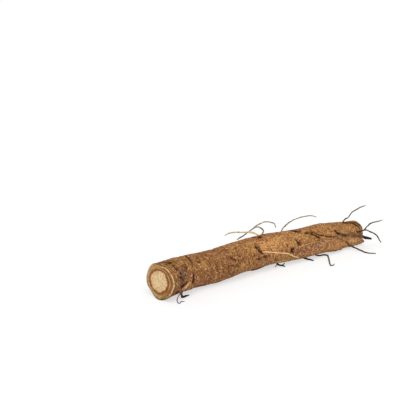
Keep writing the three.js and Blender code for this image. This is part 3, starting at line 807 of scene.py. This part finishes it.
def plain_drum():
    """A drum of unit radius along X, closed at both ends, in rings."""
    bm = bmesh.new()
    shares = np.linspace(0, 1, FACE_RINGS)
    along = np.linspace(0, LENGTH, ALONG_RINGS)
    profile = [(0, s) for s in shares] + [(d, 1) for d in along[1:]]
    profile += [(LENGTH, s) for s in np.linspace(1, 0, END_RINGS)[1:]]
    row = [bm.verts.new((d, s, 0)) for d, s in profile]
    line = [bm.edges.new(pair) for pair in zip(row, row[1:])]
    bmesh.ops.spin(
        bm, geom=row + line, cent=(0, 0, 0), axis=(1, 0, 0), dvec=(0, 0, 0),
        angle=math.tau, steps=AROUND, use_merge=True, use_duplicate=False,
    )
    bmesh.ops.remove_doubles(bm, verts=bm.verts, dist=1e-4)
    return bm


def make_taproot():
    """The body of the root: bark, the cut face at its thick end and the broken thin end."""
    bm = plain_drum()
    layers = {name: bm.verts.layers.float.new(name) for name in ("dark", "edge", "stained_and_shaded", "coarse")}
    rings = bm.verts.layers.float_vector.new("rings")
    stain_and_shade_layer = bm.verts.layers.float_color.new("stain_and_shade")
    verts = list(bm.verts)
    raw = np.array([v.co for v in verts])
    distance = raw[:, 0]
    share = np.hypot(raw[:, 1], raw[:, 2])
    angle = np.degrees(np.arctan2(raw[:, 2], raw[:, 1])) % 360
    on_face = (distance < 1e-3) & (share < 0.999)
    on_end = (distance > LENGTH - 1e-3) & (share < 0.999)
    on_skin = ~(on_face | on_end)
    radius = skin_radius(distance, angle)
    wrap = np.stack([distance, RADIUS * np.cos(np.radians(angle)), RADIUS * np.sin(np.radians(angle))], -1)

    # skin: lumps, furrows along the root and wrinkles around it
    lumps = grain(wrap, (9, 6, 6), 1)
    furrows = grain(wrap, (26, 2.2, 2.2), 2)
    wrinkles = grain(wrap, (1.5, 5, 5), 3, 4)
    grit = grain(wrap, (0.9, 0.9, 0.9), 4, 2)
    rough = 1 + 0.8 * bump(distance / 20) + 0.8 * bump((LENGTH - distance) / 14)
    relief = LUMP_HIGH * lumps + FURROW_HIGH * furrows
    relief += rough * (WRINKLE_HIGH * wrinkles + GRIT_HIGH * grit)
    # painted shade: the cracks and the troughs of the wrinkles are darkened in colour, and dark blotches are
    # added behind the cut
    dark = np.zeros(len(verts))
    for deep, half, darkness, path in CRACKS:
        off, along = way_off(path, distance, angle)
        closed = path[-1][1] - path[0][1] >= 360
        fade = 1 if closed else np.clip(np.minimum(along, 1 - along) * 6 + 0.25, 0, 1)
        relief -= deep * fade * bump(off / half)
        dark = np.maximum(dark, darkness * fade * bump(off / (1.2 * half)))
    dark = np.maximum(dark, 0.5 * np.clip(-wrinkles - 0.45, 0, 1))
    behind_cut = bump((distance - 7) / 7) * bump(turn_between(angle, 96) / 44)
    dark = np.maximum(dark, behind_cut * np.clip(2.6 * grain(wrap, (1.8, 2.2, 2.2), 7) - 0.35, 0, 0.95))
    inward = np.where(on_end, share, 1) * np.where(on_face, share ** 6, 1)
    radius = radius + relief * inward

    # the rim of the cut is slightly rounded
    radius = radius - RIM_ROUND * on_skin * np.maximum(0, 1 - distance / RIM_LONG) ** 2

    points = grow(distance, angle, share, radius)

    # growth rings stand a little out of the cut face
    core = core_radius(angle)
    from_middle = share * radius
    growth = np.where(
        from_middle < core, from_middle / core, 1 + (from_middle - core) / np.maximum(radius - core, 0.1)
    )
    facing = np.cos(growth * 19) * 0.05 + 0.12 * bump((growth - 1.03) / 0.06) - 0.14 * bump(growth / 0.8)
    points[:, 0] += np.where(on_face, facing + 0.06 * grain(wrap * share[:, None], (1.2, 1.2, 1.2), 5, 2), 0)

    # torn fibres fill the broken end
    depth = TORN_DEEP * (1 - share ** 3)
    depth += TORN_RAGGED * grain(wrap * share[:, None], (9, 1.6, 1.6), 6)
    points[:, 0] -= np.where(on_end, depth * np.clip((1 - share) * 6, 0, 1), 0)
    for vert, point in zip(verts, points):
        vert.co = settle(point)

    stain_and_shade, stained_and_shaded = stains_and_shade_at(distance, angle, wrap)
    marks = {
        "dark": np.where(on_end, 1 - np.clip((1 - share) * 5, 0, 1), dark),
        "edge": np.where(on_skin, (0.45 + 0.4 * (angle > 200)) * bump(distance / 1.3), 0) * (distance < 4),
        "stained_and_shaded": stained_and_shaded,
        "coarse": 1 - 0.35 * np.clip((distance - 158) / 14, 0, 1),
    }
    from_core = np.radians(angle)
    ways = np.stack([np.cos(from_core), np.sin(from_core), growth], -1)
    for i, vert in enumerate(verts):
        for name, layer in layers.items():
            vert[layer] = float(marks[name][i])
        vert[rings] = Vector(ways[i])
        vert[stain_and_shade_layer] = (*stain_and_shade[i], 1)
    cut_verts = {v for v, cut in zip(verts, on_face) if cut}
    end_verts = {v for v, end in zip(verts, on_end) if end}
    for face in bm.faces:
        face.smooth = True
        if any(v in cut_verts for v in face.verts):
            face.material_index = 1
        elif any(v in end_verts for v in face.verts):
            face.material_index = 2
    bmesh.ops.recalc_face_normals(bm, faces=bm.faces)
    return finished("taproot", bm, BARK, CUT, TORN)


def finished(name, bm, *materials):
    """A mesh object from bm, in the scene."""
    mesh = bpy.data.meshes.new(name)
    bm.to_mesh(mesh)
    bm.free()
    for material in materials:
        mesh.materials.append(material)
    made = bpy.data.objects.new(name, mesh)
    bpy.context.scene.collection.objects.link(made)
    return made


# ---------------------------------------------------------------- rootlet meshes

def tube(points, radii):
    """A mesh tube along a smooth curve through points, in millimetres, with a radius at each."""
    curve = bpy.data.curves.new("way", "CURVE")
    curve.dimensions = "3D"
    curve.bevel_depth = 1
    curve.bevel_resolution = 2
    curve.use_fill_caps = True
    curve.resolution_u = 10
    spline = curve.splines.new("BEZIER")
    spline.bezier_points.add(len(points) - 1)
    for knot, point, radius in zip(spline.bezier_points, points, radii):
        knot.co = point
        knot.radius = radius
        knot.handle_left_type = "AUTO"
        knot.handle_right_type = "AUTO"
    carrier = bpy.data.objects.new("way", curve)
    mesh = bpy.data.meshes.new_from_object(carrier)
    bpy.data.objects.remove(carrier)
    bpy.data.curves.remove(curve)
    return mesh


def add_tube(bm, pale_foot, pale_tip, points, radii, crooked=0.18):
    """A tube joined to bm, slightly crooked and uneven, with its paleness kept on each vertex."""
    mesh = tube(points, radii)
    start = len(bm.verts)
    bm.from_mesh(mesh)
    bpy.data.meshes.remove(mesh)
    layer = bm.verts.layers.float.get("pale") or bm.verts.layers.float.new("pale")
    bm.verts.ensure_lookup_table()
    foot, way = Vector(points[0]), Vector(points[-1]) - Vector(points[0])
    for vert in bm.verts[start:]:
        gone = min(1, max(0, (vert.co - foot).dot(way) / way.length_squared))
        vert[layer] = pale_foot + (pale_tip - pale_foot) * gone
        sway = noise.noise_vector(vert.co / 2.2)
        sway.z *= min(1, vert.co.z / 3)
        vert.co += sway * crooked * 2
        vert.co += noise.noise_vector(vert.co / 0.7 + Vector((7, 7, 7))) * crooked * 0.35
        vert.co.z = max(vert.co.z, 0.02)


def finished_tubes(name, bm, material):
    """The tubes in bm as one smooth piece in its place."""
    for face in bm.faces:
        face.smooth = True
    bmesh.ops.remove_doubles(bm, verts=bm.verts, dist=1e-3)
    bmesh.ops.recalc_face_normals(bm, faces=bm.faces)
    for vert in bm.verts:
        vert.co = settle(vert.co)
    return finished(name, bm, material)


def make_rootlets(name, routes, material):
    """Rootlets that run free of the skin, thinner towards their tips."""
    bm = bmesh.new()
    for foot, tip, pale_foot, pale_tip, points in routes:
        radii = list(np.linspace(foot, tip, len(points)))
        radii[-1] *= 0.7
        add_tube(bm, pale_foot, pale_tip, points, radii)
    return finished_tubes(name, bm, material)


def skin_point(distance, angle, proud):
    """A point proud millimetres off the plain skin."""
    d, a = np.array([distance], float), np.array([angle], float)
    return tuple(grow(d, a, np.ones(1), skin_radius(d, a) + proud)[0])


def make_clinging():
    """Threads that lie on the skin, a little sunk in it."""
    bm = bmesh.new()
    for radius, pale, path in CLINGING:
        points = [skin_point(d, a, radius * 0.6) for d, a in path]
        radii = [radius * 0.7] + [radius] * (len(path) - 2) + [radius * 0.5]
        add_tube(bm, pale, pale, points, radii, 0.12)
    return finished_tubes("clinging_rootlets", bm, THREAD)


taproot = make_taproot()
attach(taproot, "root")
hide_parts("burdock_root")

for name, routes in SIDE_ROOTS.items():
    side_roots = make_rootlets(name, routes, SIDE_ROOT)
    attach(side_roots, "root")

for name, routes in ROOTLETS.items():
    rootlets = make_rootlets(name, routes, ROOTLET)
    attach(rootlets, "root")

clinging = make_clinging()
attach(clinging, "root")

# ---------------------------------------------------------------- floor, light and camera

FLOOR_HALF = 6
FLOOR_WHITE, FLOOR_SHARE = 1.14, 0.55  # glow that only the camera sees, and its share of the floor's colour
SKY_LIGHT = 0.56
KEY_AZIMUTH, KEY_ELEVATION, KEY_SPREAD, KEY_STRENGTH = -40, 60, 40, 1.5
LENS, SENSOR = 110, 36
CAMERA_AZIMUTH = -34.7
CAMERA_ELEVATION = 20
CAMERA_DISTANCE = 1.0
AIM = (69.2, 49.7, 52.9)  # where the middle of the view is, in the root's millimetres


def seen_by_camera(tree):
    """1 where the camera looks straight at it and 0 for light that bounces."""
    return node(tree, "ShaderNodeLightPath").outputs["Is Camera Ray"]


def direction(azimuth, elevation):
    """From the root outwards; azimuth 0 is in front (-Y) and 90 at its +X side, in degrees."""
    a, e = math.radians(azimuth), math.radians(elevation)
    return Vector((math.sin(a) * math.cos(e), -math.cos(a) * math.cos(e), math.sin(e)))


bm = bmesh.new()
bmesh.ops.create_grid(bm, x_segments=1, y_segments=1, size=FLOOR_HALF)
floor_material = bpy.data.materials.new("white_table")
floor_material.use_nodes = True
tree = floor_material.node_tree
tree.nodes.clear()
matt = node(tree, "ShaderNodeBsdfDiffuse", {"Color": (0.9, 0.9, 0.9, 1)})
glow = node(tree, "ShaderNodeEmission", {"Color": (1, 1, 1, 1), "Strength": FLOOR_WHITE})
share = maths(tree, "MULTIPLY", seen_by_camera(tree), FLOOR_SHARE)
whitened = node(tree, "ShaderNodeMixShader", {0: share, 1: matt.outputs[0], 2: glow.outputs[0]})
node(tree, "ShaderNodeOutputMaterial", {"Surface": whitened.outputs[0]})
floor = finished("floor", bm, floor_material)

world = bpy.data.worlds.new("studio")
world.use_nodes = True
tree = world.node_tree
tree.nodes.clear()
soft = node(tree, "ShaderNodeBackground", {"Color": (1, 1, 1, 1), "Strength": SKY_LIGHT})
white = node(tree, "ShaderNodeBackground", {"Color": (1, 1, 1, 1), "Strength": 1.0})
sky = node(tree, "ShaderNodeMixShader", {0: seen_by_camera(tree), 1: soft.outputs[0], 2: white.outputs[0]})
node(tree, "ShaderNodeOutputWorld", {"Surface": sky.outputs[0]})
bpy.context.scene.world = world

sun = bpy.data.lights.new("key", "SUN")
sun.angle = math.radians(KEY_SPREAD)
sun.energy = KEY_STRENGTH
holder = bpy.data.objects.new("key", sun)
holder.rotation_euler = direction(KEY_AZIMUTH, KEY_ELEVATION).to_track_quat("Z", "Y").to_euler()
bpy.context.scene.collection.objects.link(holder)

camera = bpy.data.cameras.new("camera")
camera.lens = LENS
camera.sensor_width = SENSOR
eye = bpy.data.objects.new("camera", camera)
eye.location = settle(AIM) + direction(CAMERA_AZIMUTH, CAMERA_ELEVATION) * CAMERA_DISTANCE
eye.rotation_euler = (math.radians(90 - CAMERA_ELEVATION), 0, math.radians(CAMERA_AZIMUTH))
bpy.context.scene.collection.objects.link(eye)
bpy.context.scene.camera = eye
bpy.context.scene.view_settings.view_transform = "Standard"
